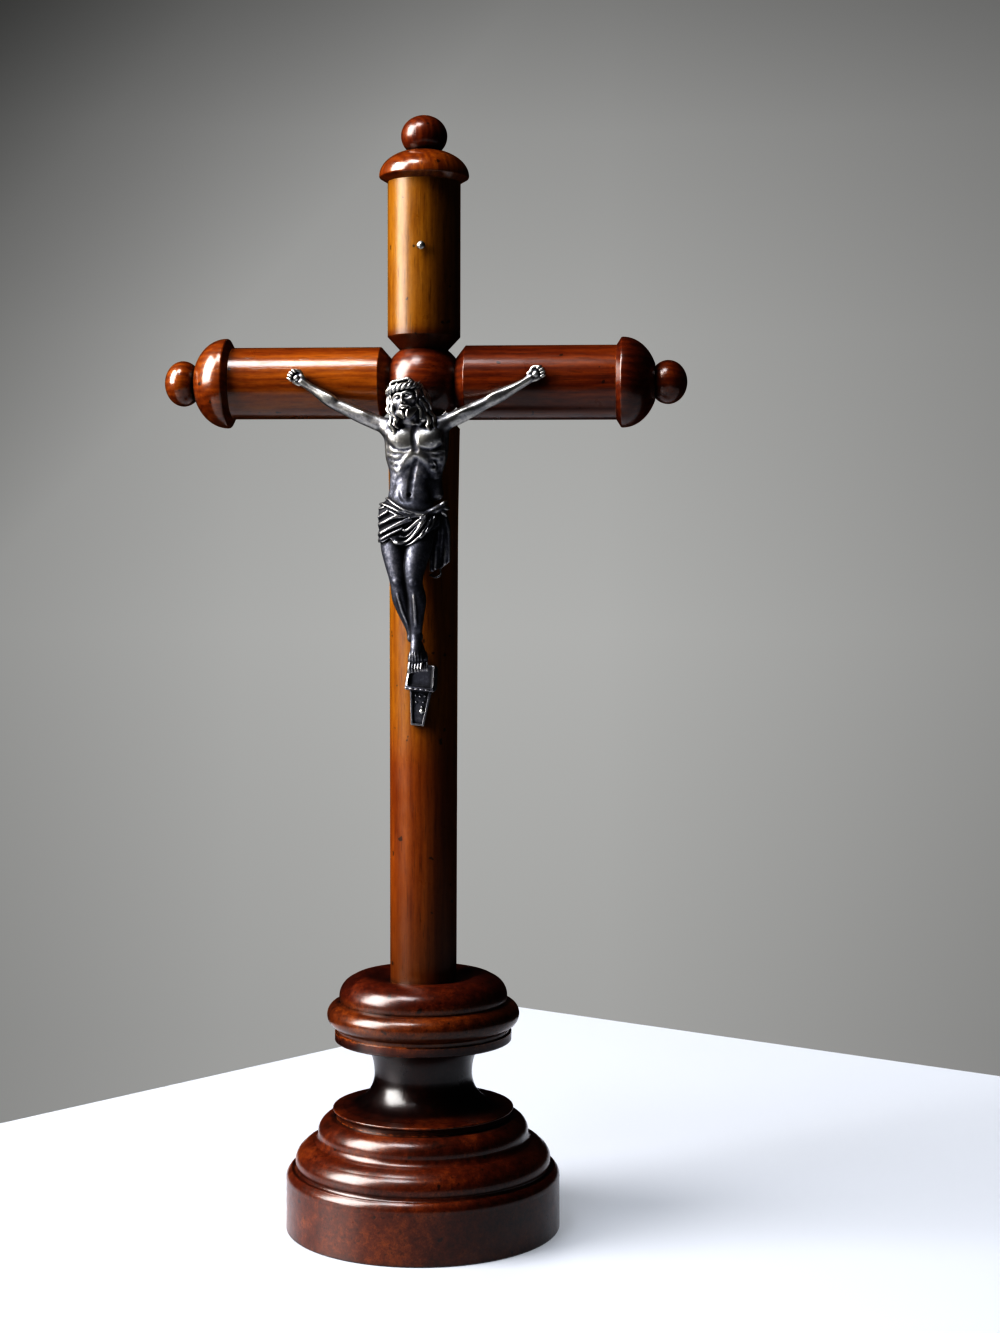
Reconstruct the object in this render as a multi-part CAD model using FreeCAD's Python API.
import FreeCAD, Part
import math
import os

# Altar cross: turned and varnished wood, with a cast metal corpus nailed to it.
# Millimetres. The cross stands on z = 0 and its upright runs along +Z; the
# crossbar runs along X; the front, where the figure hangs, faces -Y.
# Left (-X) and right (+X) are as seen by somebody standing in front.

V = FreeCAD.Vector
UP = V(0, 0, 1)
LEFT = V(-1, 0, 0)
RIGHT = V(1, 0, 0)
FRONT = V(0, -1, 0)

# ---- driving dimensions ----------------------------------------------------
TOTAL_HEIGHT = 370.0
HALF_SPAN = 86.9          # centre to the tip of either side finial

BASE_R = 46.0             # drum of the base, at the table
DRUM_HEIGHT = 20.4
PLINTH_TOP = 37.6         # seat of the stem's disc
DISC_R = 30.2
STEM_WAIST_R = 16.4
STEM_WAIST_Z = 51.5
STEM_TOP = 66.2           # seat of the knop
FILLET_R = 29.6
KNOP_R = 32.2             # widest ring of the knop
CUSHION_R = 27.7
SHAFT_SEAT = 82.9         # where the shaft's shoulder sits in the knop's dish

SHAFT_R = 11.1            # lower shaft at the knop
SHAFT_TOP_R = 11.9        # lower shaft below its chamfer
HUB_Z = 282.4             # height of the crossbar's axis
HUB_R = 13.3              # ball at the crossing
HUB_FLAT = 10.7           # centre of the ball to each of its four flats
NECK_R = 7.9              # end of every chamfer that meets the ball
UPPER_POST_R = 12.0
LEFT_BAR_R = 11.8
RIGHT_BAR_R = 12.2
BAR_CHAMFER = 3.4         # length of the chamfer along a crossbar arm
POST_CHAMFER = 4.4        # the same on the shaft and the upper post

POST_END = 348.1          # seat of the top cap
BAR_END = 63.8            # seat of a side cap, from the upright's axis
CAP_RIM_R = 14.8
CAP_UNDERCUT = 1.6        # height of the cone under a cap's rim
CAP_NECK_R = 5.2
TOP_DOME = 8.6            # rim to neck
SIDE_DOME = 11.0
TOP_BALL_R = 7.6
LEFT_BALL_R = 7.5
RIGHT_BALL_R = 7.15

# joinery: glued round tenons in blind mortises
GLUE_GAP = 0.1            # on the radius
END_GAP = 1.0             # at the bottom of a mortise
STEM_TENON_R, STEM_TENON_LENGTH = 11.0, 17.0
SHAFT_TENON_R, SHAFT_TENON_LENGTH = 8.0, 34.0
HUB_TENON_R, HUB_TENON_LENGTH = 5.0, 5.0
SPIGOT_R, SPIGOT_LENGTH = 2.6, 9.0

# fixings of the figure
SHANK_R = 0.45
SHANK_IN_WOOD = 6.0
HAND_NAIL_HEAD = (1.15, 0.75)      # radius and height of the domed head
FEET_NAIL_HEAD = (0.85, 0.6)
TAB_NAIL_HEAD = (1.0, 0.6)
TITULUS_PIN_HEAD = (1.35, 0.8)
TITULUS_PIN_Z = 325.8
TITULUS_PIN_STANDS_OUT = 1.3       # gap between the post and the pin's head

# the figure: joints of the body, each a point and the limb's radius there
LEFT_HAND = V(-40.1, -13.6, 282.9)
RIGHT_HAND = V(38.0, -13.6, 283.9)
LEFT_SHOULDER = V(-9.4, -16.8, 266.6)
RIGHT_SHOULDER = V(7.2, -16.8, 267.4)
HEAD = V(-3.6, -19.6, 276.0)
INSTEP = V(-0.9, -20.0, 193.6)
FOOTREST_Z = 181.3                 # lower edge of the footrest block
FOOTREST_SIZE = (10.2, 8.4)        # width and height
FOOTREST_DEPTH = (3.4, 5.6)        # at the top and at the lower edge
TAB_LENGTH = 11.8
TAB_WIDTH = (7.2, 4.4)             # at the top and at the bottom
TAB_THICKNESS = 1.5
TAB_RIM = 0.7
TAB_RECESS = 0.5
FOOTREST_TURN = 5.5                # the casting was nailed on slightly askew, degrees
FOOTREST_X = 0.5
SHAFT_R_AT_FEET = 11.3


# ---- turned outlines -------------------------------------------------------
def line(r, h):
    return ("line", (r, h))


def arc(mid_r, mid_h, r, h):
    return ("arc", (mid_r, mid_h), (r, h))


def oval(half_r, half_h, centre_h, end_r=0.0):
    """Ellipse about the axis at height `centre_h`, upwards until radius `end_r`."""
    rise = half_h * math.sqrt(1 - (end_r / half_r) ** 2)
    return ("oval", (half_r, half_h), (end_r, centre_h + rise))


def turn(start, *steps):
    """Solid of revolution about +Z. The outline's points are (radius, height);
    it starts and ends on the axis, or it closes on itself round a bore."""
    def point(rh):
        return V(rh[0], 0, rh[1])
    edges = []
    here = start
    for step in steps:
        there = step[-1]
        if step[0] == "line":
            edges.append(Part.LineSegment(point(here), point(there)).toShape())
        elif step[0] == "arc":
            edges.append(Part.Arc(point(here), point(step[1]), point(there)).toShape())
        else:
            half_r, half_h = step[1]
            end_angle = math.acos(there[0] / half_r)
            centre = point((0, there[1] - half_h * math.sin(end_angle)))
            ellipse = Part.Ellipse(centre + V(half_r, 0, 0), centre + V(0, 0, half_h), centre)
            start_angle = math.asin((here[1] - centre.z) / half_h)
            edges.append(Part.ArcOfEllipse(ellipse, start_angle, end_angle).toBSpline().toShape())
        here = there
    if here != start:
        edges.append(Part.LineSegment(point(here), point(start)).toShape())
    return Part.Face(Part.Wire(edges)).revolve(V(0, 0, 0), UP, 360)


def aim(shape, origin, direction):
    """Move a shape made about +Z at the origin to `origin`, pointing along `direction`."""
    placed = shape.copy()
    placed.Placement = FreeCAD.Placement(origin, FreeCAD.Rotation(UP, direction))
    return placed


def cylinder(radius, base, direction, length):
    return Part.makeCylinder(radius, length, base, direction)


# ---- base ------------------------------------------------------------------
def base_plinth():
    mortise_r = STEM_TENON_R + GLUE_GAP
    mortise_floor = PLINTH_TOP - STEM_TENON_LENGTH - END_GAP
    bulge_r = 42.6
    waist_r = 36.6
    shoulder_r = 35.3
    return turn(
        (0, 0),
        line(BASE_R - 0.5, 0),
        arc(BASE_R - 0.15, 0.15, BASE_R, 0.5),                    # eased lower edge
        line(BASE_R - 0.1, DRUM_HEIGHT - 3.8),
        arc(BASE_R - 0.4, DRUM_HEIGHT - 1.5, BASE_R - 1.4, DRUM_HEIGHT - 0.2),
        arc(BASE_R - 1.9, DRUM_HEIGHT + 0.1, BASE_R - 2.4, DRUM_HEIGHT - 0.2),
        line(bulge_r + 0.4, DRUM_HEIGHT - 0.2),                   # quirk behind the rim
        arc(bulge_r + 0.1, DRUM_HEIGHT + 0.2, bulge_r, DRUM_HEIGHT + 0.9),
        arc(bulge_r, 24.4, 40.6, 27.2),                           # lower round
        arc(38.9, 28.6, waist_r, 29.4),
        arc(35.7, 30.3, shoulder_r, 31.6),                        # hollow between the rounds
        arc(34.6, 34.9, 31.9, PLINTH_TOP - 0.3),                  # upper round
        arc(31.2, PLINTH_TOP, 30.4, PLINTH_TOP),
        line(mortise_r, PLINTH_TOP),
        line(mortise_r, mortise_floor),
        line(0, mortise_floor),
    )


def base_stem():
    mortise_r = SHAFT_TENON_R + GLUE_GAP
    mortise_floor = SHAFT_SEAT - SHAFT_TENON_LENGTH - END_GAP
    disc_under_r = DISC_R - 0.9
    disc_edge_z = 40.2
    return turn(
        (0, PLINTH_TOP - STEM_TENON_LENGTH),
        line(STEM_TENON_R, PLINTH_TOP - STEM_TENON_LENGTH),
        line(STEM_TENON_R, PLINTH_TOP),
        line(disc_under_r, PLINTH_TOP),
        arc(disc_under_r + 0.1, PLINTH_TOP + 1.2, DISC_R, disc_edge_z - 0.3),   # cove under the disc's lip
        arc(DISC_R + 0.1, disc_edge_z, DISC_R - 0.3, disc_edge_z + 0.4),
        line(27.0, 41.2),
        arc(18.9, 44.9, STEM_WAIST_R, STEM_WAIST_Z),                            # long hollow of the neck
        arc(STEM_WAIST_R + 0.5, 56.5, 19.0, 61.5),
        line(19.4, 62.6),
        line(FILLET_R - 0.4, 63.2),
        arc(FILLET_R - 0.1, 63.3, FILLET_R, 63.7),
        line(FILLET_R, STEM_TOP),
        line(mortise_r, STEM_TOP),
        line(mortise_r, mortise_floor),
        line(0, mortise_floor),
    )


def knop():
    bore_r = SHAFT_TENON_R + GLUE_GAP
    step_z = 75.9
    return turn(
        (bore_r, STEM_TOP),
        line(FILLET_R - 0.5, STEM_TOP),
        arc(FILLET_R - 0.4, 67.5, 30.2, 68.4),                    # cove over the fillet
        arc(KNOP_R, 72.0, 30.4, 75.4),                            # wide ring
        line(29.4, step_z),
        line(CUSHION_R + 0.2, step_z + 0.4),
        arc(CUSHION_R, 80.3, 24.2, 83.9),                         # cushion
        arc(20.5, 85.2, 17.0, 84.6),
        arc(14.0, 83.4, 11.7, SHAFT_SEAT),                        # dish round the shaft
        line(bore_r, SHAFT_SEAT),
    )


# ---- upright and crossbar --------------------------------------------------
def lower_shaft():
    top = HUB_Z - HUB_FLAT
    return turn(
        (0, SHAFT_SEAT - SHAFT_TENON_LENGTH),
        line(SHAFT_TENON_R, SHAFT_SEAT - SHAFT_TENON_LENGTH),
        line(SHAFT_TENON_R, SHAFT_SEAT),
        line(SHAFT_R, SHAFT_SEAT),
        line(SHAFT_R + 0.1, 144.0),                               # slight hand-turned swelling upwards
        line(SHAFT_R + 0.3, 235.0),
        line(SHAFT_TOP_R, top - POST_CHAMFER),
        line(NECK_R, top),
        line(HUB_TENON_R, top),
        line(HUB_TENON_R, top + HUB_TENON_LENGTH),
        line(0, top + HUB_TENON_LENGTH),
    )


def hub():
    """Ball with a flat and a blind mortise on each of its four sides."""
    side = 2 * HUB_FLAT
    depth = 2 * HUB_R
    block = Part.makeBox(side, depth, side, V(-side / 2, -depth / 2, -side / 2))
    ball = Part.makeSphere(HUB_R).common(block)
    for direction in (UP, -UP, LEFT, RIGHT):
        floor = direction * (HUB_FLAT - HUB_TENON_LENGTH - END_GAP)
        mortise = cylinder(HUB_TENON_R + GLUE_GAP, floor, direction, HUB_R)
        ball = ball.cut(mortise)
    ball.translate(V(0, 0, HUB_Z))
    return ball


def arm(radius, length, chamfer):
    """Round bar from a flat of the ball to a cap: tenon, chamfer, plain run,
    and a socket in its far end for the finial's spigot."""
    socket_r = SPIGOT_R + GLUE_GAP
    return turn(
        (0, -HUB_TENON_LENGTH),
        line(HUB_TENON_R, -HUB_TENON_LENGTH),
        line(HUB_TENON_R, 0),
        line(NECK_R, 0),
        line(radius - 0.15, chamfer - 0.15),
        arc(radius - 0.03, chamfer, radius, chamfer + 0.3),
        line(radius, length),
        line(socket_r, length),
        line(socket_r, length - SPIGOT_LENGTH - END_GAP),
        line(0, length - SPIGOT_LENGTH - END_GAP),
    )


def cap(bar_r, dome):
    """Mushroom cap: cone under a sharp rim, dome, and a bore for the spigot."""
    bore_r = SPIGOT_R + GLUE_GAP
    rim = CAP_UNDERCUT
    lip = 0.4
    top_r = CAP_NECK_R + 0.7
    half = (dome - lip) / math.sqrt(1 - (top_r / CAP_RIM_R) ** 2)
    return turn(
        (bore_r, 0),
        line(bar_r + 0.1, 0),
        line(CAP_RIM_R - 0.2, rim - 0.15),
        arc(CAP_RIM_R - 0.05, rim + 0.1, CAP_RIM_R, rim + lip),
        oval(CAP_RIM_R, half, rim + lip, top_r),
        line(bore_r, rim + dome),
    )


def finial(ball_r, neck, tip):
    """Flattened ball on a neck, with a spigot that passes through the cap."""
    half = (tip - neck) / (1 + math.sqrt(1 - (CAP_NECK_R / ball_r) ** 2))
    return turn(
        (0, -SPIGOT_LENGTH),
        line(SPIGOT_R, -SPIGOT_LENGTH),
        line(SPIGOT_R, neck),
        line(CAP_NECK_R, neck),
        oval(ball_r, half, tip - half),
    )


def end_pieces(name, seat, direction, bar_r, dome, ball_r, tip):
    """The cap and the finial at one end of the cross."""
    neck = CAP_UNDERCUT + dome
    return {
        name + "_cap": aim(cap(bar_r, dome), seat, direction),
        name + "_finial": aim(finial(ball_r, neck, tip), seat, direction),
    }


# ---- figure ----------------------------------------------------------------
def limb(*sections):
    """Smooth round member through (x, y, z, radius) sections."""
    points = [V(*s[:3]) for s in sections]
    wires = []
    for i, section in enumerate(sections):
        before = points[max(i - 1, 0)]
        after = points[min(i + 1, len(points) - 1)]
        circle = Part.Circle(points[i], after - before, section[3])
        wires.append(Part.Wire(circle.toShape()))
    return Part.makeLoft(wires, True)


def knob(x, y, z, radius):
    """Ball that rounds a joint or the end of a limb."""
    return Part.makeSphere(radius, V(x, y, z))


def torso(*sections):
    """Trunk through level ovals: (height, centre x, centre y, half width, half depth)."""
    wires = []
    for z, x, y, half_width, half_depth in sections:
        oval = Part.Ellipse(V(x + half_width, y, z), V(x, y + half_depth, z), V(x, y, z))
        wires.append(Part.Wire(oval.toShape()))
    return Part.makeLoft(wires, True)


def egg(centre, half_x, half_y, half_z):
    stretch = FreeCAD.Matrix()
    stretch.scale(half_x, half_y, half_z)
    shape = Part.makeSphere(1).transformGeometry(stretch)
    shape.translate(centre)
    return shape


def fuse_all(shapes):
    whole = shapes[0]
    for shape in shapes[1:]:
        whole = whole.fuse(shape)
    return whole


def corpus_body():
    """Head, trunk, loincloth, legs and feet, cast in one piece."""
    trunk = torso(
        (232.0, -3.0, -18.8, 8.4, 5.2),
        (240.0, -2.6, -18.4, 9.4, 5.3),
        (250.0, -0.7, -18.0, 7.7, 4.6),
        (257.0, -0.4, -17.9, 9.0, 5.1),
        (262.0, -0.6, -17.8, 9.8, 5.2),
        (267.0, -1.2, -17.3, 8.4, 4.2),
        (270.5, -2.0, -17.4, 4.2, 3.4),
    )
    loincloth = torso(
        (229.6, -3.0, -20.0, 9.0, 6.4),
        (236.0, -2.6, -19.2, 10.3, 6.8),
        (243.0, -2.4, -18.6, 10.9, 6.0),
    )
    neck = limb((-2.0, -17.0, 266.5, 3.2), (HEAD.x, HEAD.y + 1.2, HEAD.z - 1.0, 3.0))
    head = egg(HEAD, 6.6, 6.8, 6.7)
    hanging_end = limb(
        (8.0, -17.4, 239.0, 2.4), (7.4, -16.8, 232.0, 2.7), (6.6, -15.8, 224.0, 2.5), (6.2, -15.4, 218.4, 1.7)
    )
    knot = knob(8.2, -17.8, 240.4, 2.8)
    left_leg = limb(
        (-6.4, -18.8, 234.0, 4.7), (-6.4, -22.0, 225.0, 4.3), (-5.8, -23.6, 217.4, 3.3),
        (-5.9, -21.8, 210.8, 3.1), (-4.6, -20.0, 205.0, 2.5), (-1.7, -18.6, 198.6, 1.9)
    )
    right_leg = limb(
        (1.4, -18.6, 234.0, 4.5), (0.9, -21.6, 225.0, 4.1), (0.4, -23.0, 216.8, 3.2),
        (2.0, -20.6, 210.0, 3.0), (2.4, -18.4, 204.5, 2.4), (2.3, -16.6, 198.6, 1.9)
    )
    left_heel = knob(-1.7, -18.4, 198.4, 2.2)
    right_heel = knob(2.3, -16.4, 198.4, 2.2)
    left_foot = limb((-1.7, -18.4, 198.0, 1.8), (INSTEP.x, INSTEP.y, INSTEP.z, 1.9), (-0.6, -20.6, 189.2, 1.5))
    right_foot = limb((2.3, -16.4, 198.0, 1.8), (1.8, -17.6, 194.0, 1.8), (1.3, -18.2, 190.4, 1.5))
    left_toes = egg(V(-0.6, -20.6, 189.1), 1.8, 1.6, 1.5)
    right_toes = egg(V(1.3, -18.2, 190.3), 1.8, 1.6, 1.5)
    return fuse_all([trunk, loincloth, neck, head, hanging_end, knot, left_leg, right_leg,
                     left_heel, right_heel, left_foot, right_foot, left_toes, right_toes])


def corpus_arm(shoulder, elbow, wrist, hand):
    """Separate casting: upper arm, forearm, palm and curled fingers."""
    reach = (hand - wrist).normalize()
    member = limb(
        (*shoulder, 2.3),
        (*((shoulder + elbow) * 0.5), 2.1),
        (*elbow, 2.1),
        (*(elbow * 0.6 + wrist * 0.4), 2.0),
        (*wrist, 1.35),
        (*hand, 1.1),
    )
    palm = egg(hand, 2.2, 1.3, 2.2)
    fingers = egg(hand + reach * 2.3 + FRONT * 0.5, 1.5, 1.3, 1.5)
    return fuse_all([member, palm, fingers])


def shoulder_lug():
    """Stub of the casting's locating lug, which shows above the right shoulder."""
    lug = Part.makeBox(3.0, 1.4, 1.8, V(0, 0, 0))
    lug.Placement = FreeCAD.Placement(V(8.6, -16.6, 270.3), FreeCAD.Rotation(V(0, 1, 0), 42))
    return lug


def footrest():
    """Sloped block under the feet and, below it, a tapered tab with raised rims.
    Its back is hollowed to sit on the shaft."""
    width, height = FOOTREST_SIZE
    thin, thick = FOOTREST_DEPTH
    back = -SHAFT_R_AT_FEET + 2.0
    front = -SHAFT_R_AT_FEET

    def plate(outline, y_from, y_to):
        corners = [V(x, y_from, z) for x, z in outline]
        face = Part.Face(Part.makePolygon(corners + corners[:1]))
        return face.extrude(V(0, y_to - y_from, 0))

    side = Part.makePolygon([
        V(-width / 2, back, 0), V(-width / 2, front - thick, 0), V(-width / 2, front - thick, 1.3),
        V(-width / 2, front - thin, height), V(-width / 2, back, height), V(-width / 2, back, 0)])
    block = Part.Face(side).extrude(V(width, 0, 0))
    corner = 1.6
    for sign in (-1, 1):
        edge = sign * width / 2
        bevel = plate([(edge, -0.1), (edge, corner * 1.6), (edge - sign * corner, -0.1)], back, front - thick - 1)
        block = block.cut(bevel)

    top, bottom = TAB_WIDTH[0] / 2, TAB_WIDTH[1] / 2
    tab = plate([(-top, 0.5), (top, 0.5), (bottom, -TAB_LENGTH), (-bottom, -TAB_LENGTH)],
                back, front - TAB_THICKNESS)
    recess = plate([(TAB_RIM - top, -0.8), (top - TAB_RIM, -0.8),
                    (bottom - TAB_RIM, TAB_RIM - TAB_LENGTH), (TAB_RIM - bottom, TAB_RIM - TAB_LENGTH)],
                   front - TAB_THICKNESS + TAB_RECESS, front - TAB_THICKNESS - 1)
    body = block.fuse(tab).removeSplitter().cut(recess)
    body.Placement = FreeCAD.Placement(V(FOOTREST_X, 0, FOOTREST_Z), FreeCAD.Rotation(FRONT, FOOTREST_TURN))
    return body


# ---- nails -----------------------------------------------------------------
def nail(head_at, head, shank):
    """Domed nail driven straight in from the front. `head_at` is the centre of the
    head's underside and `shank` is the length behind it."""
    radius, height = head
    dome_r = (radius ** 2 + height ** 2) / (2 * height)
    dome = Part.makeSphere(dome_r, V(0, 0, height - dome_r))
    dome = dome.common(cylinder(radius, V(0, 0, 0), UP, height + 1))
    point = Part.makeCone(0.05, SHANK_R, 1.2, V(0, 0, -shank))
    stem = cylinder(SHANK_R, V(0, 0, 1.2 - shank), UP, shank - 1.2 + height / 2)
    return aim(dome.fuse(stem).fuse(point).removeSplitter(), head_at, FRONT)


def main():
    left_seat = V(-BAR_END, 0, HUB_Z)
    right_seat = V(BAR_END, 0, HUB_Z)
    top_seat = V(0, 0, POST_END)
    hub_centre = V(0, 0, HUB_Z)
    bar_length = BAR_END - HUB_FLAT
    post_length = POST_END - HUB_Z - HUB_FLAT

    nodes = {
        "base_plinth": base_plinth(),
        "base_stem": base_stem(),
        "knop": knop(),
        "lower_shaft": lower_shaft(),
        "hub": hub(),
        "upper_post": aim(arm(UPPER_POST_R, post_length, POST_CHAMFER), hub_centre + UP * HUB_FLAT, UP),
        "left_crossbar": aim(arm(LEFT_BAR_R, bar_length, BAR_CHAMFER), hub_centre + LEFT * HUB_FLAT, LEFT),
        "right_crossbar": aim(arm(RIGHT_BAR_R, bar_length, BAR_CHAMFER), hub_centre + RIGHT * HUB_FLAT, RIGHT),
    }
    nodes.update(end_pieces("top", top_seat, UP, UPPER_POST_R, TOP_DOME, TOP_BALL_R, TOTAL_HEIGHT - POST_END))
    nodes.update(end_pieces("left", left_seat, LEFT, LEFT_BAR_R, SIDE_DOME, LEFT_BALL_R, HALF_SPAN - BAR_END))
    nodes.update(end_pieces("right", right_seat, RIGHT, RIGHT_BAR_R, SIDE_DOME, RIGHT_BALL_R, HALF_SPAN - BAR_END))

    # the figure and the footrest stand on the wood without cutting into it
    wood = [nodes[name] for name in ("lower_shaft", "hub", "left_crossbar", "right_crossbar")]
    body = corpus_body()
    rest = footrest().cut(wood + [body])
    left_arm = corpus_arm(LEFT_SHOULDER, V(-27.0, -14.6, 274.5), V(-36.4, -13.8, 280.5), LEFT_HAND)
    right_arm = corpus_arm(RIGHT_SHOULDER, V(22.3, -14.6, 274.9), V(34.2, -13.8, 281.3), RIGHT_HAND)
    right_arm = right_arm.fuse(shoulder_lug()).removeSplitter()
    figure = {
        "corpus_body": body,
        "corpus_left_arm": left_arm.cut(wood + [body]),
        "corpus_right_arm": right_arm.cut(wood + [body]),
        "footrest": rest,
    }

    palm_front = 1.2
    hand_shank = palm_front + 1.4 + SHANK_IN_WOOD
    nails = {
        "left_hand_nail": nail(LEFT_HAND + FRONT * palm_front, HAND_NAIL_HEAD, hand_shank),
        "right_hand_nail": nail(RIGHT_HAND + FRONT * palm_front, HAND_NAIL_HEAD, hand_shank),
        "feet_nail": nail(INSTEP + V(0, -1.6, 0), FEET_NAIL_HEAD, 10.0 + SHANK_IN_WOOD),
        "tab_nail": nail(V(0.9, -SHAFT_R_AT_FEET - TAB_THICKNESS + TAB_RECESS, 174.2), TAB_NAIL_HEAD,
                         TAB_THICKNESS + SHANK_IN_WOOD),
        "titulus_pin": nail(V(0.5, -UPPER_POST_R - TITULUS_PIN_STANDS_OUT, TITULUS_PIN_Z), TITULUS_PIN_HEAD,
                            TITULUS_PIN_STANDS_OUT + SHANK_IN_WOOD),
    }
    # every nail sits in the hole that it made
    for driven in nails.values():
        for group in (nodes, figure):
            for name, shape in group.items():
                if shape.BoundBox.intersect(driven.BoundBox):
                    group[name] = shape.cut(driven)
    nodes.update(figure)
    nodes.update(nails)

    os.makedirs("parts", exist_ok=True)
    for name, shape in nodes.items():
        shape.exportStep("parts/" + name + ".step")
        box = shape.BoundBox
        print(f"{name:18s} solids {len(shape.Solids)} valid {shape.isValid()} volume {shape.Volume:10.1f} "
              f"x {box.XMin:7.2f} {box.XMax:7.2f} y {box.YMin:7.2f} {box.YMax:7.2f} z {box.ZMin:7.2f} {box.ZMax:7.2f}")


main()
